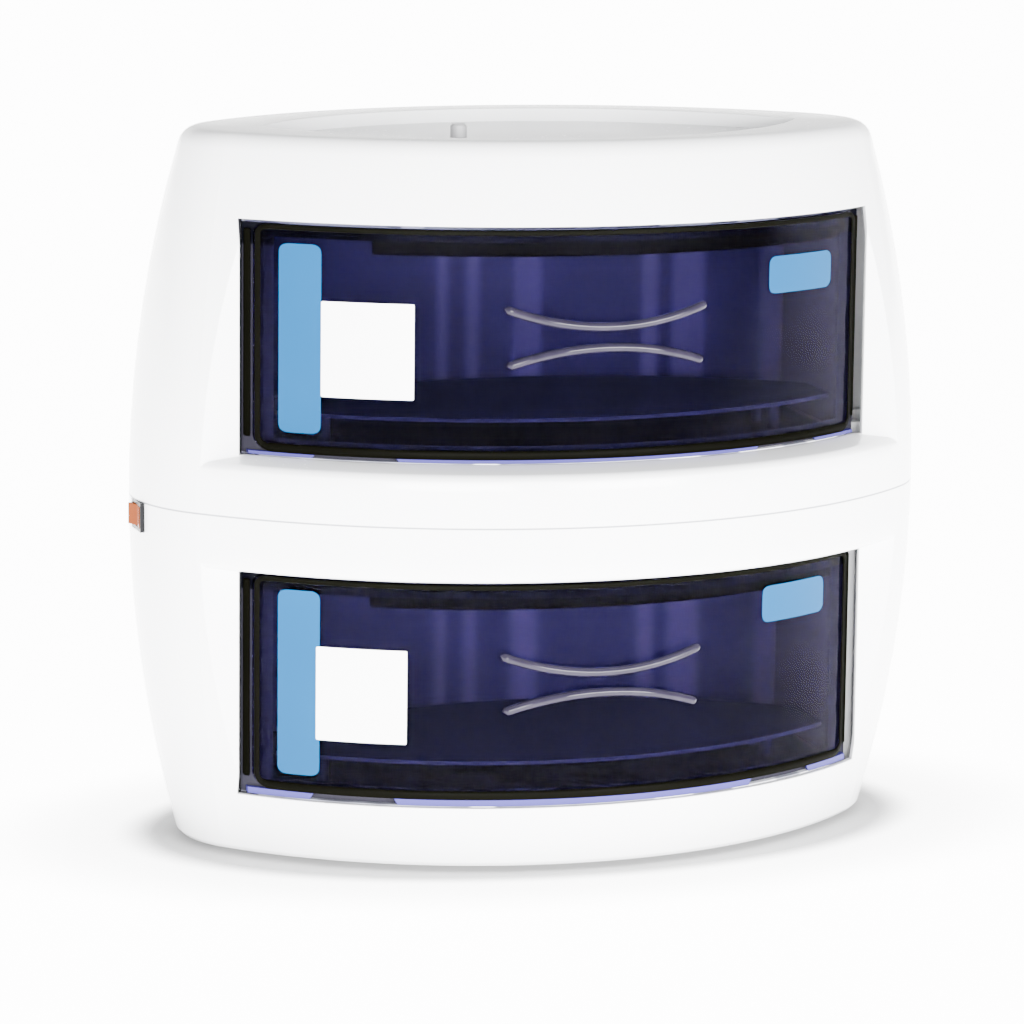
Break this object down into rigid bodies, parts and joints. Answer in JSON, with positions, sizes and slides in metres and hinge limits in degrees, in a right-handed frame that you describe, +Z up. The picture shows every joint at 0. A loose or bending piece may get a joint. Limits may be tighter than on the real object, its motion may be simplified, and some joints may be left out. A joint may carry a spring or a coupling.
{
  "type": "sterilizer cabinet",
  "caption": "Barrel-shaped white tabletop ultraviolet steriliser case with pull-out curved violet drawers, one above the other, and a side rocker switch.",
  "frame": {"origin": "centre of the footprint, on the surface the feet rest on", "axes": "+Z up, -Y out of the drawer fronts, +X to the right seen from the front"},
  "size_m": [0.4223, 0.2696, 0.37],
  "materials": {
    "case_white": "glossy moulded white",
    "cover_white": "lightly textured white",
    "liner_white": "satin white",
    "runner_grey": "satin",
    "reflector_sheet": "polished sheet",
    "lamp_glass": "clear quartz glass",
    "cap_metal": "satin",
    "holder_white": "satin white",
    "ballast_steel": "semi-gloss dark grey",
    "screw_steel": "zinc plated",
    "starter_can": "satin",
    "wire_cover": "smooth",
    "gland_black": "matt",
    "switch_black": "satin black",
    "terminal_brass": "plain",
    "feet_rubber": "matt",
    "peg_grey": "satin grey",
    "rocker_orange": "glossy translucent orange",
    "pin_red": "satin",
    "tub_violet": "translucent lavender violet",
    "front_violet": "glossy dark violet translucent",
    "seal_black": "satin",
    "grip_dark": "glossy",
    "tray_dark": "satin dark violet"
  },
  "bodies": {
    "case": {"upper_shell": "case_white", "lower_shell": "case_white", "rear_cover": "cover_white", "upper_liner": "liner_white", "lower_liner": "liner_white", "upper_runners": "runner_grey", "lower_runners": "runner_grey", "upper_reflector": "reflector_sheet", "lower_reflector": "reflector_sheet", "upper_lamp": "lamp_glass", "lower_lamp": "lamp_glass", "upper_lamp_caps": "cap_metal", "lower_lamp_caps": "cap_metal", "upper_lamp_holders": "holder_white", "lower_lamp_holders": "holder_white", "upper_ballast": "ballast_steel", "lower_ballast": "ballast_steel", "ballast_screws": "screw_steel", "upper_starter_socket": "holder_white", "lower_starter_socket": "holder_white", "starters": "starter_can", "terminal_block": "holder_white", "wiring": "wire_cover", "cord_gland": "gland_black", "switch_housing": "switch_black", "switch_terminals": "terminal_brass", "latch_bodies": "switch_black", "cover_screws": "screw_steel", "shell_screws": "screw_steel", "feet": "feet_rubber", "top_peg": "peg_grey"},
    "upper_drawer": {"upper_tub": "tub_violet", "upper_front": "front_violet", "upper_seal": "seal_black", "upper_grips": "grip_dark", "upper_tray": "tray_dark"},
    "lower_drawer": {"lower_tub": "tub_violet", "lower_front": "front_violet", "lower_seal": "seal_black", "lower_grips": "grip_dark", "lower_tray": "tray_dark"},
    "rocker": {"switch_rocker": "rocker_orange"},
    "upper_latch": {"upper_latch_pin": "pin_red"},
    "lower_latch": {"lower_latch_pin": "pin_red"}
  },
  "joints": [
    {"name": "upper_drawer_slide", "type": "slide", "parent": "case", "child": "upper_drawer", "axis": [0, -1, 0], "range_m": [0, 0.075]},
    {"name": "lower_drawer_slide", "type": "slide", "parent": "case", "child": "lower_drawer", "axis": [0, -1, 0], "range_m": [0, 0.075]},
    {"name": "switch_tilt", "type": "hinge", "parent": "case", "child": "rocker", "pos_m": [-0.2046, -0.01, 0.1732], "axis": [0, 0, -1], "range_deg": [0, 19]},
    {"name": "upper_latch_slide", "type": "slide", "parent": "case", "child": "upper_latch", "axis": [0, -1, 0], "range_m": [0, 0.0025]},
    {"name": "lower_latch_slide", "type": "slide", "parent": "case", "child": "lower_latch", "axis": [0, -1, 0], "range_m": [0, 0.0025]}
  ],
  "couplings": [
    {"joint": "upper_latch_slide", "follows": "upper_drawer_slide", "ratio": 0.033333},
    {"joint": "lower_latch_slide", "follows": "lower_drawer_slide", "ratio": 0.033333}
  ]
}
